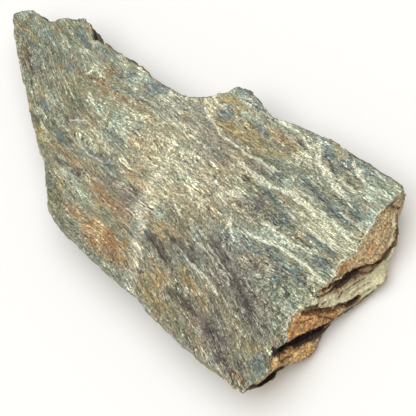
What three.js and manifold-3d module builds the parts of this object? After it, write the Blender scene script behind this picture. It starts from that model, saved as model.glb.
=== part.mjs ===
// A polygonal flagstone: one slab of riven quartz-mica schist, lying on its back.
// Millimetres, +Z up. The long way of the slab runs along X: the narrow tail is at -X and the
// broken end, where the layers of the stone step out like slates, is at +X.
// The slab is a wall of stepped layers, cut off above and below by two riven faces.
import * as THREE from 'three';
import Module from 'manifold-3d';

// ---- driving sizes ----
const THICKNESS = 44; // between the riven faces, on average
const OVERRUN = 15; // how far the wall runs past both faces before it is cut off
const LAYERS = 5; // layers that show in the edge
const LAYER_WANDER = 2.6; // how far a crack strays from its level
const COLUMN_SPACING = 10; // spacing of the columns round the edge
const END_SPACING = 6; // the same on the broken end, where the steps are sharpest
const CORNER_REACH = 25; // run over which the steps of a side die out at its corners
const WALL_ROUGH = 0.9; // small roughness of the broken edges
const SLIVER = 0.6; // least height between two points of a section
const FACE_GRID = 10; // spacing of the points on the riven faces
const FACE_SWELL = { height: 2, length: 110, width: 55 }; // broad swells of the upper face
const FACE_RIPPLE = { height: 0.9, length: 34, width: 18 }; // small ripples on it
const FOOT_HOLLOW = { height: 3.5, length: 70, width: 45 }; // hollows under the margin
const FLAT_FOOT = [270, 120]; // half sizes of the oval that the hollows stay near the rim of
const BLOCK = [340, 180]; // half sizes of the block that the faces are cut with
const GRID_JITTER = 0.28; // share of the grid by which a point strays
const SEED = 7;

// Plan of the slab, counter-clockwise. Each row is a corner of the upper face and then the same
// corner of the foot, which is smaller because the slab is undercut all round.
const PLAN = {
  brokenEnd: [
    [270, -120, 238, -110],
    [261, 122, 230, 106],
  ],
  headSide: [
    [254, 126, 226, 110],
    [216, 127, 210, 112],
    [133, 122, 130, 115],
    [107, 118, 105, 110],
    [88, 112, 88, 104],
    [62, 119, 60, 108],
    [44, 121, 42, 108],
    [27, 118, 27, 104],
    [21, 104, 18, 95],
    [-7, 84, -8, 79],
    [-19, 77, -19, 71],
    [-69, 76, -69, 70],
    [-88, 79, -88, 71],
    [-158, 77, -157, 70],
    [-171, 75, -168, 63],
    [-184, 86, -180, 72],
    [-201, 88, -199, 74],
    [-222, 76, -220, 66],
    [-244, 62, -240, 53],
    [-274, 60, -266, 51],
    [-288, 52, -276, 45],
  ],
  tail: [
    [-292, 43, -277, 38],
    [-268, 23, -258, 26],
  ],
  longSide: [
    [-249, 12, -240, 19],
    [-167, -38, -157, -25],
    [-128, -61, -117, -46],
    [-66, -101, -58, -82],
    [-52, -109, -45, -91],
    [-14, -116, -10, -99],
    [60, -120, 62, -104],
    [102, -122, 103, -106],
    [141, -126, 139, -109],
    [214, -126, 196, -107],
    [258, -123, 230, -111],
  ],
};

// How the layers step on the plain sides: the greatest step, how far the cracks between layers
// bite in, and the run of one step along the side.
const EDGE_STYLE = {
  headSide: { step: 5, bite: 4, run: 46, seed: 3 },
  tail: { step: 4, bite: 3, run: 30, seed: 5 },
  longSide: { step: 4.5, bite: 4, run: 52, seed: 8 },
};

// The broken end, measured from its corner with the head side.
const END_RIM = [
  // [along, outward]
  [0, -1], [14, -5], [40, -7], [65, -4], [73, 0], [89, -7], [106, -1], [129, -6],
  [141, 0], [155, -9], [176, -6], [194, -1], [209, 5], [230, 1], [242, 0],
];
const END_FOOT = [
  // [along, outward]
  [0, -28], [21, -20], [32, -12], [53, 2], [79, 14], [93, 12], [120, 8], [150, 2], [174, 4],
  [184, 0], [205, -8], [226, -24], [242, -30],
];

// The ledges of the broken end, from the top one down. Under each ledge's lip a crack bites in,
// and the next ledge begins below it. The cracks climb to the face one after another, so that
// the ledges overlap like slates.
//   lip: [along, outward, depth below the face]
//   next: [along, step out from the lip, height of the crack's mouth]
const END_LEDGES = [
  {
    lip: [
      [0, -4, 8], [22, -1, 12], [43, 15, 19], [65, 17, 20], [78, 10, 17], [90, 3, 12],
      [106, 2, 9], [116, 0, 4], [129, -6, 0], [150, -9, -8],
    ],
    next: [[0, -2, 2], [60, -5, 5], [129, -5, 5]],
    bite: 9,
  },
  {
    lip: [
      [0, -3, 12], [21, 1, 16], [32, 10, 22], [41, 15, 27], [53, 19, 30], [72, 28, 31],
      [82, 27, 31], [99, 18, 28], [112, 15, 26], [126, 10, 20], [138, 2, 11], [151, -8, 1],
      [160, -10, -6],
    ],
    next: [[0, -3, 3], [115, -3, 3], [140, 0, 4]],
    bite: 9,
  },
  {
    lip: [
      [0, -9, 20], [32, 0, 33], [53, 12, 36], [79, 22, 38], [93, 23, 37], [109, 19, 37],
      [127, 15, 34], [140, 11, 25], [148, 8, 19], [155, 8, 15], [168, 4, 9], [178, 1, 5],
      [197, -3, 0], [215, -5, -7],
    ],
    next: [
      [0, -8, 3], [120, -6, 3], [142, -2, 7], [152, 3, 13], [170, 5, 15], [188, 4, 10],
      [198, 0, 3],
    ],
    bite: 15,
  },
  {
    lip: [
      [0, -20, 34], [53, 3, 41], [93, 12, 42], [127, 6, 43], [142, 2, 41], [150, 3, 38],
      [162, 7, 38], [174, 11, 37], [184, 8, 31], [195, 4, 24], [205, 2, 14], [225, 0, 6],
      [242, -1, 1],
    ],
    next: [[0, -3, 3], [190, -3, 3], [205, 1, 8], [228, 1, 9], [242, -1, 6]],
    bite: 6,
  },
];
const THIN_CRACK = 0.25; // share of its bite that a crack keeps where it reaches the face
const CRACK_RUN_IN = 10; // depth at which a crack has its full bite
const MOUTH_RUN_IN = 6; // depth at which its mouth has its full height

// Broad shapes of the upper face: [x, y, half length, half width, height].
const FACE_MOUNDS = [
  [46, 108, 34, 20, 4],
  [-215, 70, 50, 18, 2.5],
  [-60, -80, 90, 26, -2.5],
  [150, 60, 120, 40, 1.5],
  [232, -95, 46, 30, -2],
];

// ---- small tools ----
const clamp = (value, low, high) => Math.min(high, Math.max(low, value));
const lerp = (a, b, share) => a + (b - a) * share;
const smooth = (share) => share * share * (3 - 2 * share);

// A repeatable random number from -1 to 1 for a pair of whole numbers.
function scatter(i, j, seed) {
  let hash = Math.imul(i, 374761393) ^ Math.imul(j, 668265263) ^ Math.imul(seed, 2147483647);
  hash = Math.imul(hash ^ (hash >>> 13), 1274126177);
  hash = Math.imul(hash ^ (hash >>> 16), 2246822519);
  return ((hash ^ (hash >>> 15)) >>> 0) / 2147483648 - 1;
}

// Smooth random heights from -1 to 1 over a plane.
function noise(x, y, seed) {
  const i = Math.floor(x);
  const j = Math.floor(y);
  const u = smooth(x - i);
  const v = smooth(y - j);
  const near = lerp(scatter(i, j, seed), scatter(i + 1, j, seed), u);
  const far = lerp(scatter(i, j + 1, seed), scatter(i + 1, j + 1, seed), u);
  return lerp(near, far, v);
}

// Random steps from -1 to 1 along a line: flat runs with short risers between them.
function steps(along, run, seed) {
  const cell = Math.floor(along / run);
  const riser = smooth(clamp((along / run - cell - 0.7) / 0.3, 0, 1));
  return lerp(scatter(cell, seed, SEED), scatter(cell + 1, seed, SEED), riser);
}

// The numbers of a list of [along, ...numbers] at one place between its entries.
function at(list, along) {
  const after = list.findIndex(([place]) => along <= place);
  if (after === 0) return list[0].slice(1);
  if (after < 0) return list[list.length - 1].slice(1);
  const [start, ...from] = list[after - 1];
  const [end, ...to] = list[after];
  return from.map((value, k) => lerp(value, to[k], (along - start) / (end - start)));
}

// ---- columns round the edge ----
// A column is one place on the plan: its point on the face and on the foot, the side it is on,
// how far along that side it stands and how long the side is.
function sideColumns(side, corners) {
  const spacing = side === 'brokenEnd' ? END_SPACING : COLUMN_SPACING;
  const columns = [];
  let travelled = 0;
  for (let i = 0; i + 1 < corners.length; i += 1) {
    const [from, to] = [corners[i], corners[i + 1]];
    const length = Math.hypot(to[0] - from[0], to[1] - from[1]);
    const count = Math.max(1, Math.round(length / spacing));
    for (let k = 0; k < count; k += 1) {
      const row = from.map((value, n) => lerp(value, to[n], k / count));
      const along = travelled + (length * k) / count;
      columns.push({ side, along, face: row.slice(0, 2), foot: row.slice(2) });
    }
    travelled += length;
  }
  return columns.map((column) => ({ ...column, length: travelled }));
}

function planColumns() {
  const sides = Object.keys(PLAN);
  return sides.flatMap((side, i) => {
    const next = sides[(i + 1) % sides.length];
    return sideColumns(side, [...PLAN[side], PLAN[next][0]]);
  });
}

// The outward direction at a column, taken over its neighbours so that corners turn gently.
function outward(columns, i) {
  const count = columns.length;
  const before = columns[(i + count - 2) % count].face;
  const after = columns[(i + 2) % count].face;
  const run = new THREE.Vector2(after[0] - before[0], after[1] - before[1]).normalize();
  return [run.y, -run.x];
}

// ---- sections of the edge ----
// A section is a list of [outward, depth] from above the face to below the foot. Every section
// has the same number of points, so that they can be joined into one wall.
function ledgePoints(ledge, along) {
  const [out, depth] = at(ledge.lip, along);
  const [step, mouth] = at(ledge.next, along);
  const height = mouth * clamp(depth / MOUTH_RUN_IN, THIN_CRACK, 1);
  const bite = ledge.bite * clamp(THIN_CRACK + depth / CRACK_RUN_IN, THIN_CRACK, 1);
  return [
    [out, depth],
    [out - bite, depth + height * 0.4],
    [out + step, depth + height],
  ];
}

// Points that lie above the face are gathered at the rim, where the face cuts the wall.
function endSection(fromHeadSide) {
  const [rim] = at(END_RIM, fromHeadSide);
  const [foot] = at(END_FOOT, fromHeadSide);
  const points = END_LEDGES.flatMap((ledge) => ledgePoints(ledge, fromHeadSide));
  const gone = points.filter(([, depth]) => depth < 0).length;
  const kept = points.map((point, i) => (i < gone ? [rim, (i - gone) * SLIVER] : point));
  return [
    [rim, -OVERRUN],
    [rim, -(gone + 1) * SLIVER],
    ...kept,
    [foot, THICKNESS],
    [foot, THICKNESS + OVERRUN],
  ];
}

// A layer's step from the plan, which dies out at the corners of the side.
function layerStep({ side, along, length }, layer) {
  const { step, run, seed } = EDGE_STYLE[side];
  const fade = smooth(clamp(Math.min(along, length - along) / CORNER_REACH, 0, 1));
  return step * fade * steps(along + layer * 17, run, layer * 11 + seed);
}

function sideSection(column) {
  const { run, bite, seed } = EDGE_STYLE[column.side];
  const points = [];
  for (let layer = 1; layer < LAYERS; layer += 1) {
    const wander = LAYER_WANDER * noise(column.along / run, layer * 3.7, seed);
    const open = clamp(0.45 + steps(column.along, run * 1.3, layer * 7 + seed), 0, 1);
    const depth = (THICKNESS * layer) / LAYERS + wander;
    const upper = layerStep(column, layer);
    const lower = layerStep(column, layer + 1);
    points.push([upper, depth]);
    points.push([Math.min(upper, lower) - bite * open, depth + SLIVER + open]);
    points.push([lower, depth + 2 * (SLIVER + open)]);
  }
  return [[0, -OVERRUN], [0, -SLIVER], ...points, [0, THICKNESS], [0, THICKNESS + OVERRUN]];
}

// Keeps the points of a section in order from top to bottom.
function inOrder(section) {
  let last = -Infinity;
  return section.map(([out, depth]) => {
    last = Math.max(depth, last + SLIVER);
    return [out, last];
  });
}

// ---- the wall ----
// One column of the wall as points in space. The wall leans in from the face to the foot; the
// broken end's sections are measured from a plumb line, so the lean is taken off them.
function wallColumn(column, i, columns) {
  const { side, along, length, face, foot } = column;
  const [outX, outY] = outward(columns, i);
  const isEnd = side === 'brokenEnd';
  const section = isEnd ? endSection(length - along) : sideSection(column);
  const lean = isEnd ? (foot[0] - face[0]) * outX + (foot[1] - face[1]) * outY : 0;
  return inOrder(section).map(([out, depth], row) => {
    const share = clamp(depth / THICKNESS, 0, 1);
    const push = out - lean * share + WALL_ROUGH * scatter(i, row, SEED);
    return [
      lerp(face[0], foot[0], share) + outX * push,
      lerp(face[1], foot[1], share) + outY * push,
      THICKNESS - depth,
    ];
  });
}

// The columns joined into a closed wall, with a lid at the top and one at the bottom.
function edgeWall() {
  const columns = planColumns().map(wallColumn);
  const rows = columns[0].length;
  const triangles = [];
  columns.forEach((column, i) => {
    const next = (i + 1) % columns.length;
    for (let row = 0; row + 1 < rows; row += 1) {
      const [a, b] = [i * rows + row, next * rows + row];
      triangles.push([a, a + 1, b], [b, a + 1, b + 1]);
    }
  });
  [0, rows - 1].forEach((row) => {
    const outline = columns.map((column) => new THREE.Vector2(column[row][0], column[row][1]));
    THREE.ShapeUtils.triangulateShape(outline, []).forEach((corners) => {
      const lid = corners.map((corner) => corner * rows + row);
      triangles.push(row === 0 ? lid : lid.reverse());
    });
  });
  return { points: columns.flat(), triangles };
}

// ---- the riven faces ----
function layerOfNoise(x, y, { height, length, width }, seed) {
  return height * noise(x / length, y / width, seed);
}

function faceHeight(x, y) {
  const mounds = FACE_MOUNDS.reduce((sum, [cx, cy, halfLength, halfWidth, height]) => {
    const far = Math.hypot((x - cx) / halfLength, (y - cy) / halfWidth);
    return sum + height * smooth(clamp(1 - far, 0, 1));
  }, 0);
  const swell = layerOfNoise(x, y, FACE_SWELL, SEED);
  const ripple = layerOfNoise(x, y, FACE_RIPPLE, SEED + 1);
  return THICKNESS + swell + ripple + mounds;
}

// The foot is flat in the middle and has shallow hollows towards the margin.
function footHeight(x, y) {
  const margin = clamp(2 * Math.hypot(x / FLAT_FOOT[0], y / FLAT_FOOT[1]) - 1, 0, 1);
  return smooth(margin) * Math.max(0, layerOfNoise(x, y, FOOT_HOLLOW, SEED + 2));
}

// One surface of the block: a grid of points that stray a little, except round its border.
function gridPoints(height, countX, countY) {
  const points = [];
  for (let j = 0; j <= countY; j += 1) {
    for (let i = 0; i <= countX; i += 1) {
      const border = i === 0 || j === 0 || i === countX || j === countY;
      const stray = border ? 0 : GRID_JITTER * FACE_GRID;
      const x = i * FACE_GRID - BLOCK[0] + stray * scatter(i, j, SEED + 3);
      const y = j * FACE_GRID - BLOCK[1] + stray * scatter(i, j, SEED + 4);
      points.push([x, y, height(x, y)]);
    }
  }
  return points;
}

// The numbers of the border points of the grid, counter-clockwise.
function gridBorder(countX, countY) {
  const width = countX + 1;
  const border = [];
  for (let i = 0; i < countX; i += 1) border.push(i);
  for (let j = 0; j < countY; j += 1) border.push(j * width + countX);
  for (let i = countX; i > 0; i -= 1) border.push(countY * width + i);
  for (let j = countY; j > 0; j -= 1) border.push(j * width);
  return border;
}

// A block larger than the slab, with the riven face above and the foot below.
function rivenBlock() {
  const [countX, countY] = BLOCK.map((half) => (2 * half) / FACE_GRID);
  const upper = gridPoints(faceHeight, countX, countY);
  const lower = gridPoints(footHeight, countX, countY);
  const width = countX + 1;
  const below = upper.length;
  const triangles = [];
  for (let j = 0; j < countY; j += 1) {
    for (let i = 0; i < countX; i += 1) {
      const a = j * width + i;
      const [b, c, d] = [a + 1, a + width + 1, a + width];
      triangles.push([a, b, c], [a, c, d]);
      triangles.push([c + below, b + below, a + below], [d + below, c + below, a + below]);
    }
  }
  const border = gridBorder(countX, countY);
  border.forEach((a, n) => {
    const b = border[(n + 1) % border.length];
    triangles.push([a, a + below, b + below], [a, b + below, b]);
  });
  return { points: [...upper, ...lower], triangles };
}

// ---- solids ----
const wasm = await Module();
wasm.setup();

function toSolid({ points, triangles }) {
  const mesh = new wasm.Mesh({
    numProp: 3,
    vertProperties: new Float32Array(points.flat()),
    triVerts: new Uint32Array(triangles.flat()),
  });
  return new wasm.Manifold(mesh);
}

function toGeometry(solid) {
  const mesh = solid.getMesh();
  const geometry = new THREE.BufferGeometry();
  geometry.setAttribute('position', new THREE.BufferAttribute(mesh.vertProperties, 3));
  geometry.setIndex(new THREE.BufferAttribute(mesh.triVerts, 1));
  return geometry;
}

// Puts the origin in the middle of the slab's box, on the ground.
function standOnOrigin(geometry) {
  geometry.computeBoundingBox();
  const { min, max } = geometry.boundingBox;
  return geometry.translate(-(min.x + max.x) / 2, -(min.y + max.y) / 2, -min.z);
}

function makeFlagstone() {
  const slab = toSolid(edgeWall()).intersect(toSolid(rivenBlock()));
  const schist = new THREE.MeshStandardMaterial({ color: 0x8f8c7a, roughness: 0.82, metalness: 0 });
  const flagstone = new THREE.Mesh(standOnOrigin(toGeometry(slab)), schist);
  flagstone.name = 'flagstone';
  return flagstone;
}

const group = new THREE.Group();
group.add(makeFlagstone());

export default group;
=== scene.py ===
import math

import bmesh
import bpy
import numpy as np
from mathutils import Matrix, Vector
from mathutils.bvhtree import BVHTree
from mathutils.kdtree import KDTree


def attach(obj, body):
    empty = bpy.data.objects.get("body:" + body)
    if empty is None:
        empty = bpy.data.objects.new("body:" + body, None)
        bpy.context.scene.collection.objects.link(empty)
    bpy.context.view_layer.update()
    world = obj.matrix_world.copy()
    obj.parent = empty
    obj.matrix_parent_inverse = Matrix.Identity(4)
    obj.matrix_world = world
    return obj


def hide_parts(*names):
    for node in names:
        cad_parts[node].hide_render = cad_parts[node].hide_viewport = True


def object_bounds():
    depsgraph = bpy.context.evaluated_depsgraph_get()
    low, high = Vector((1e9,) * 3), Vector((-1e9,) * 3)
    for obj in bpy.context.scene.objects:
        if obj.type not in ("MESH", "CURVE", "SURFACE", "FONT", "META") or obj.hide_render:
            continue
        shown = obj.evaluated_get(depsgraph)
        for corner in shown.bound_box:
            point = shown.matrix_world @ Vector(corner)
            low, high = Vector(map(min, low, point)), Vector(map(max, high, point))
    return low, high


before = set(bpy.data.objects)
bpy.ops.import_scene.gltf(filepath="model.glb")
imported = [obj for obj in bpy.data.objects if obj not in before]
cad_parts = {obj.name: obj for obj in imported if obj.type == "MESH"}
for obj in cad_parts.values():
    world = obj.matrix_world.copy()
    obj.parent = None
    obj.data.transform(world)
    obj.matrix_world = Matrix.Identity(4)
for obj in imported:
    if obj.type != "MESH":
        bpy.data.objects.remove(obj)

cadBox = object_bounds()
mm = 0.001

# the camera looks down on the lying slab, rolled so that the slab crosses the picture
camera = {
    "target": (102.2, -3.6, 45.0),  # mm, on the upper face
    "azimuth": 79.0,  # this and the next two in degrees
    "elevation": 54.0,
    "roll": 40.0,
    "distance": 1400.0,  # this and the next two in mm
    "lens": 121.15,
    "sensor": 36.0,
}

studio = {
    "key": (-0.05, -0.45, 0.87),  # towards the lamp
    "keyStrength": 2.55,
    "keyWidth": 3.0,  # degrees, a hard key that draws the grain
    "paperLight": 2.2,  # lights the paper alone, so the slab's shadow on it stays faint
    "paperWidth": 90.0,  # degrees
    "fillStrength": 0.40,
    "paperColour": "f6f5f2",
    "paperRoughness": 0.9,
    "paperHalf": 6.0,  # m
}


def linear(hexColour):
    # an sRGB hex value as linear red, green, blue and alpha
    values = [int(hexColour[i:i + 2], 16) / 255 for i in (0, 2, 4)]
    return [v / 12.92 if v <= 0.04045 else ((v + 0.055) / 1.055) ** 2.4 for v in values] + [1.0]


def addNode(tree, kind, sockets={}, take=0, **settings):
    # gives the output of the new node that take names or numbers
    node = tree.nodes.new(kind if "Node" in kind else "ShaderNode" + kind)
    for name, value in settings.items():
        setattr(node, name, value)
    for name, value in sockets.items():
        if isinstance(value, bpy.types.NodeSocket):
            tree.links.new(value, node.inputs[name])
        else:
            node.inputs[name].default_value = value
    return node.outputs[take] if len(node.outputs) else node


def setCamera():
    azimuth, elevation = math.radians(camera["azimuth"]), math.radians(camera["elevation"])
    back = Vector((
        math.sin(azimuth) * math.cos(elevation),
        -math.cos(azimuth) * math.cos(elevation),
        math.sin(elevation),
    ))
    right = (-back).cross(Vector((0, 0, 1))).normalized()
    up = right.cross(-back)
    turn = math.radians(camera["roll"])
    across = math.cos(turn) * right - math.sin(turn) * up
    upward = math.sin(turn) * right + math.cos(turn) * up
    basis = Matrix((across, upward, back)).transposed().to_4x4()
    basis.translation = (Vector(camera["target"]) + back * camera["distance"]) * mm
    data = bpy.data.cameras.new("lookingDown")
    data.lens = camera["lens"]
    data.sensor_width = camera["sensor"]
    rig = bpy.data.objects.new("lookingDown", data)
    rig.matrix_world = basis
    bpy.context.scene.collection.objects.link(rig)
    bpy.context.scene.camera = rig


def addSun(name, direction, strength, width):
    lamp = bpy.data.lights.new(name, "SUN")
    lamp.energy = strength
    lamp.angle = math.radians(width)
    sun = bpy.data.objects.new(name, lamp)
    sun.rotation_euler = Vector(direction).to_track_quat("Z", "Y").to_euler()
    bpy.context.scene.collection.objects.link(sun)
    return sun


def palePaper():
    # uncoated backdrop paper, pressed smooth: pale and even, with no gloss
    material = bpy.data.materials.new("palePaper")
    material.use_nodes = True
    shader = material.node_tree.nodes["Principled BSDF"]
    shader.inputs["Base Color"].default_value = linear(studio["paperColour"])
    shader.inputs["Roughness"].default_value = studio["paperRoughness"]
    return material


def setStudio():
    key = addSun("key", studio["key"], studio["keyStrength"], studio["keyWidth"])
    paperLamp = addSun("paperLamp", (0, 0, 1), studio["paperLight"], studio["paperWidth"])
    world = bpy.data.worlds.new("paleRoom")
    world.use_nodes = True
    room = world.node_tree.nodes["Background"]
    room.inputs["Color"].default_value = (1, 1, 1, 1)
    room.inputs["Strength"].default_value = studio["fillStrength"]
    bpy.context.scene.world = world
    bpy.context.scene.view_settings.view_transform = "Standard"
    half = studio["paperHalf"]
    mesh = bpy.data.meshes.new("floor")
    corners = [(-half, -half, 0), (half, -half, 0), (half, half, 0), (-half, half, 0)]
    mesh.from_pydata(corners, [], [(0, 1, 2, 3)])
    mesh.materials.append(palePaper())
    floor = bpy.data.objects.new("floor", mesh)
    bpy.context.scene.collection.objects.link(floor)
    # each lamp lights its own things: the key the stone, the paper lamp the paper
    forStone = bpy.data.collections.new("litByKey")
    forPaper = bpy.data.collections.new("litByPaperLamp")
    forPaper.objects.link(floor)
    key.light_linking.receiver_collection = forStone
    paperLamp.light_linking.receiver_collection = forPaper
    return forStone


litByKey = setStudio()
setCamera()
print("camera and studio set")

slab = {
    "weld": 0.001,  # mm, points nearer than this are one
    "voxel": 1.7,  # mm, finest shape that the mesh holds, halved on the broken end
    "faceSmoothing": 30,  # passes that melt the flat facets of the riven face
    "edgeSmoothing": 2,  # passes on the broken edges, where corners stay crisp
    "smoothing": 0.5,  # share of the way that one pass moves a point
    "crispRim": (1, 8),  # mm from the rim over which the smoothing of the face sets in
    "leastWeight": 0.01,  # a point with less is left out of a group
    "flat": 0.95,  # share of foot in a point that counts as flat
    "footThinned": 0.93,  # share of the flat foot's triangles that is left out
    "shelterRays": 14,  # directions tried from each point to find the sheltered cracks, which are painted in shade
    "shelterReach": 30.0,  # mm
    "shelterLift": 0.4,  # mm from the stone at which each try starts
    "seed": 7,
}

# where the zones of the slab begin and end, in mm; a tilt is the upward part of the normal
zones = {
    "faceTilt": (0.74, 0.92),
    "faceLevel": (37, 39),
    "rimBand": -6,  # from here to the broken rim the face is told by these two alone
    "rimLevel": (36, 38),
    "rimTilt": 0.3,
    "rimEdge": (-0.6, 0.6),  # across the broken rim
    "rimFrom": 235,  # there is no broken rim before this x, so the gap to it is
    "noRim": -20,
    "rimAbove": 30,
    "footTilt": (0.6, 0.9),
    "footLevel": (0.4, 1.5),
    "hollowTilt": (0.8, 0.95),  # hollows under the margin, which end
    "hollowTop": 8,  # below this z
    "hollowEnd": 240,  # and before this x
    "onWall": 0.3,  # share of wall in a point where shelter, painted later as shade, is looked for
    "onFace": 0.02,  # share of face in a point that carries marks
    "reliefFoot": (0.5, 3.5),  # bare band at the foot, where the slab rests, and the next band
    "endAlong": (236, 250),
    "endLeaves": 0.6,  # share by which the leaf relief is weaker on the broken end
    "endMarks": 245,
}


def smoothStep(low, high, values):
    share = np.clip((values - low) / (high - low), 0, 1)
    return share * share * (3 - 2 * share)


def evaluated(piece):
    graph = bpy.context.evaluated_depsgraph_get()
    return bpy.data.meshes.new_from_object(piece.evaluated_get(graph))


def readVectors(items, kind):
    values = np.empty(len(items) * 3)
    items.foreach_get(kind, values)
    return values.reshape(-1, 3)


def surfaceOf(mesh):
    # places in mm, and normals
    return readVectors(mesh.vertices, "co") / mm, readVectors(mesh.vertices, "normal")


def weigh(piece, name, values):
    group = piece.vertex_groups.new(name=name)
    for i in np.nonzero(values > slab["leastWeight"])[0]:
        group.add([int(i)], float(values[i]), "REPLACE")


# the broken end: the line where the upper face stops, as y and x, going down the end
endRim = (
    (119.6, 259.7), (114.4, 258.3), (106.8, 256.8), (99.4, 255.9), (93.9, 255.4), (87.4, 255.2),
    (80.8, 257.3), (72.3, 258.7), (65.6, 259.4), (59.2, 260.6), (53.3, 261.4), (48.8, 263.2),
    (41.5, 262.1), (35, 259.7), (29.7, 258.4), (24.2, 259.7), (20.9, 261.1), (15.8, 263),
    (9.1, 262.4), (-0.7, 257.8), (-8.1, 259.9), (-13.7, 261.3), (-19.3, 262.3), (-26.4, 259.4),
    (-31.9, 256.1), (-40.3, 256.4), (-46.7, 259.5), (-53.5, 262.1), (-59.1, 266.3), (-70, 265.3),
    (-75.6, 264.9), (-83.3, 268.4), (-90.3, 274.1), (-92.4, 277), (-97.8, 276.5), (-106, 271),
    (-114.2, 269.2), (-120.6, 268.6),
)
# where its cracks and ledges are drawn along after remeshing: place, then move
endPulls = (
    ((264, 20, 30), (-4, -6, 1)), ((266, 28, 35), (-2, -4, 0)), ((266, 40, 33), (-1, -9, 0)),
    ((274, 52, 28), (-1, -7, 0)), ((276, 64, 18), (-2, -7, 0)), ((266, 11, 32), (-1, -7, 0)),
    ((266, 24, 27), (-1, -6, 0)), ((270, 40, 23), (-3, -6, 1)), ((259, 4, 39), (0, -9, -1)),
    ((260, -19, 41), (0, -9, -1)), ((268, -6, 29), (-1, -9, 0)), ((275, 6, 19), (-1, -7, 0)),
    ((278, 19, 13), (0, -5, -1)), ((284, 33, 11), (0, -2, 0)), ((266, -54, 38), (-3, -18, 0)),
    ((266, -32, 23), (-4, -19, 1)), ((273, -14, 15), (-2, -14, 0)), ((268, -51, 34), (-1, -18, 0)),
    ((272, -37, 22), (0, -18, -1)), ((274, -22, 16), (1, -15, -2)), ((276, -38, 12), (2, -13, -2)),
    ((274, -53, 20), (2, -14, -1)), ((270, -72, 22), (1, -12, -1)), ((268, -104, 41), (5, -7, -1)),
    ((267, -90, 30), (4, -9, -1)), ((268, -115, 43), (1, -4, 0)), ((268, -104, 25), (6, -6, 0)),
)
# open cracks between the leaves of the end: half width, depth, then x, y and z of each place
endCracks = (
    (0.9, 2, 259, 0, 37, 263, 8, 41, 264, 16, 40),
    (1, 2, 260, -8, 38, 262, -2, 35, 263, 5, 32, 262, 10, 31, 265, 12, 28),
    (0.9, 1.5, 269, 39, 29, 272, 45, 28, 273, 52, 19, 274, 56, 19),
    (0.9, 1.5, 267, 33, 24, 274, 42, 20, 275, 45, 19, 274, 51, 19),
    (0.7, 1.5, 269, 10, 25, 271, 3, 26),
    (1.7, 3, 260, -29, 40, 262, -25, 36, 266, -17, 31, 269, -10, 26, 273, -7, 21, 274, -1, 22, 276,
     6, 14, 277, 12, 13, 279, 18, 13),
    (0.8, 1.5, 268, -21, 29, 272, -17, 24, 276, -14, 18),
    (1.2, 1.5, 286, 33, 9, 283, 22, 9, 281, 8, 9, 279, -2, 11, 278, -9, 14),
    (0.6, 1, 261, -47, 42, 261, -42, 41, 263, -37, 36, 265, -32, 34, 267, -27, 32),
    (0.6, 1, 265, 91, 32, 268, 89, 30, 271, 81, 28, 275, 75, 26),
    (0.8, 1.5, 257, 98, 42, 258, 100, 41, 260, 100, 39, 259, 105, 38),
    (0.8, 1.5, 258, 104, 41, 258, 111, 40), (1.6, 2.5, 270, -91, 28, 270, -84, 21),
    (1.8, 2.5, 271, -97, 29, 272, -106, 36, 271, -116, 41), (0.5, 1, 265, -12, 37, 265, -16, 38),
    (0.5, 1, 266, -7, 32, 266, -11, 33), (0.5, 1, 268, -2, 30, 269, -6, 30),
    (0.5, 1, 264, -18, 41, 264, -22, 41), (0.5, 0.8, 270, 15, 24, 272, 27, 21, 275, 35, 20),
    (0.5, 0.8, 275, 15, 21, 277, 26, 19, 281, 36, 17),
    (0.5, 0.8, 270, -78, 29, 271, -71, 29, 274, -64, 26),
)
# small chips that stand out: place, move, reach
endChips = (((276, 74, 21), (5, 2, 1), 2.2),)

# how the end is shaped with those, in mm
endShape = {
    "finerFrom": 254,  # the mesh is refined beyond this x
    "finerAbove": 4,  # and above this z
    "finerTilt": (-0.2, 0.9),  # on surfaces that face down or up less than this,
    "finerTop": 262,  # or up more, beyond this x
    "pullReach": 8.0,
    "pullStretch": (0.3, 1, 1),  # a pull carries farther along the slab than across it
    "hold": 0.06,  # how far the stone between the pulls holds its place
    "pullAlong": (236, 256),
    "pullUp": (0.5, 8),
    "brow": 43.4,  # level that the stone falls from beyond the rim
    "fall": 1.1,  # mm for mm
    "mostFall": 3.5,
    "fallAcross": (0, 1),
    "fallTilt": (0.0, 0.3),
    "crackFrom": 250,
    "crackFade": 0.4,
}


def beyondRim(points):
    # how far each point lies outside the broken rim, in mm
    y, x = zip(*reversed(endRim))
    over = points[:, 0] - np.interp(points[:, 1], y, x)
    return np.where(points[:, 0] > zones["rimFrom"], over, zones["noRim"])


def onFace(points, normals):
    level, tilt, over = points[:, 2], normals[:, 2], beyondRim(points)
    plain = smoothStep(*zones["faceTilt"], tilt) * smoothStep(*zones["faceLevel"], level)
    nearRim = smoothStep(*zones["rimLevel"], level) * (tilt > zones["rimTilt"])
    inside = np.where(over > zones["rimBand"], nearRim, plain)
    return inside * (1 - smoothStep(*zones["rimEdge"], over))


def onFoot(points, normals):
    resting = 1 - smoothStep(*zones["footLevel"], points[:, 2])
    return smoothStep(*zones["footTilt"], -normals[:, 2]) * resting


def rimDistance(points, face):
    edge = np.nonzero((face < 0.5) & (points[:, 2] > zones["rimAbove"]))[0]
    tree = KDTree(len(edge))
    for i in edge:
        tree.insert(Vector(points[i]), int(i))
    tree.balance()
    distance = np.zeros(len(points))
    for i in np.nonzero(face >= 0.5)[0]:
        distance[i] = tree.find(Vector(points[i]))[2]
    return distance


def lineDistance(points, path):
    # mm to the line through the places that path lists
    nearest = np.full(len(points), np.inf)
    path = np.reshape(path, (-1, points.shape[1])).astype(float)
    for start, end in zip(path, path[1:]):
        run = end - start
        share = np.clip((points - start) @ run / (run @ run), 0, 1)
        gap = np.linalg.norm(points - start - share[:, None] * run, axis=1)
        nearest = np.minimum(nearest, gap)
    return nearest


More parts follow.
